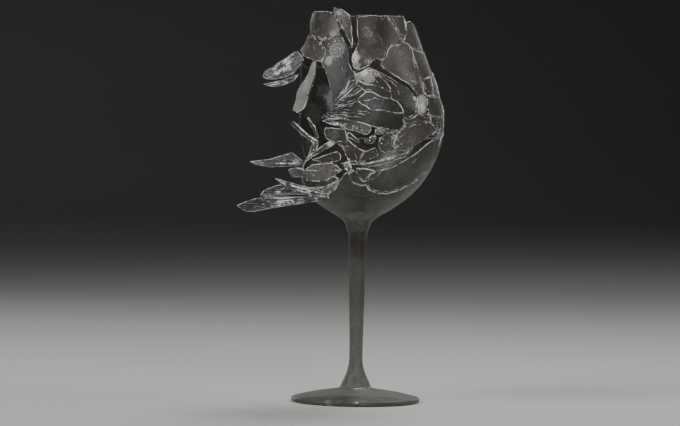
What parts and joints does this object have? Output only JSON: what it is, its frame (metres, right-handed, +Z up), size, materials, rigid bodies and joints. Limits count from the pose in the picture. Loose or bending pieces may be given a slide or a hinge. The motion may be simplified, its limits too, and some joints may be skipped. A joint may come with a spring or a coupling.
{
  "type": "broken wine glass",
  "caption": "Large stemmed wine glass with a shattered bowl: foot, stem and cup are whole, and cracked shards stand in place above a hole in one side.",
  "frame": {"origin": "centre of the foot's flat underside, on the stem's axis", "axes": "+Z up along the stem; the hole in the bowl and the shards that stick out of it are towards -X; the front, with most of the cracks, faces -Y"},
  "size_m": [0.1277, 0.1059, 0.2442],
  "materials": {
    "blown_glass": "dusty greenish grey blown glass",
    "shard_glass": "dusty grey broken glass with bright broken edges",
    "crazed_glass": "crushed and crazed glass, whitened with powder"
  },
  "bodies": {
    "root": {"back_left_plate": "shard_glass", "back_middle_plate": "shard_glass", "back_rim_left": "shard_glass", "back_rim_middle": "shard_glass", "back_rim_right": "shard_glass", "back_side_plate": "shard_glass", "cup_chip": "shard_glass", "cup_chip_left": "shard_glass", "cup_crescent": "shard_glass", "cup_lobe": "shard_glass", "dome_band": "crazed_glass", "dome_crown": "crazed_glass", "dome_lens": "crazed_glass", "dome_right": "crazed_glass", "fan_blade_lower": "crazed_glass", "fan_blade_middle": "crazed_glass", "fan_blade_upper": "crazed_glass", "fan_plate": "crazed_glass", "flank_plate": "shard_glass", "flank_strip": "shard_glass", "foot_stem_and_cup": "blown_glass", "hole_needle_left": "shard_glass", "hole_needle_right": "shard_glass", "hole_splinter": "shard_glass", "hole_star_chip": "shard_glass", "left_band": "shard_glass", "left_dagger": "shard_glass", "left_edge_plate": "shard_glass", "left_leaf_dark": "shard_glass", "left_leaf_middle": "shard_glass", "left_leaf_top": "shard_glass", "left_lens": "shard_glass", "left_plate": "shard_glass", "left_shoulder": "shard_glass", "left_sliver": "shard_glass", "long_slat": "shard_glass", "low_blade": "shard_glass", "low_leaf": "shard_glass", "low_needle": "shard_glass", "middle_blade": "shard_glass", "middle_chip": "shard_glass", "middle_crumb": "shard_glass", "middle_plate": "shard_glass", "middle_plate_low": "shard_glass", "ridged_slat": "shard_glass", "rim_chip": "shard_glass", "rim_plate_front": "shard_glass", "rim_plate_left": "shard_glass", "rim_plate_right": "shard_glass", "rim_spike": "shard_glass", "shoulder_plate_front": "shard_glass", "shoulder_splinter": "shard_glass", "shoulder_strip_right": "shard_glass", "side_chip": "shard_glass", "side_plate_lower": "shard_glass", "side_plate_middle": "shard_glass", "side_plate_upper": "shard_glass", "upper_fan": "shard_glass", "upper_slat": "shard_glass", "wing": "shard_glass"}
  },
  "joints": []
}
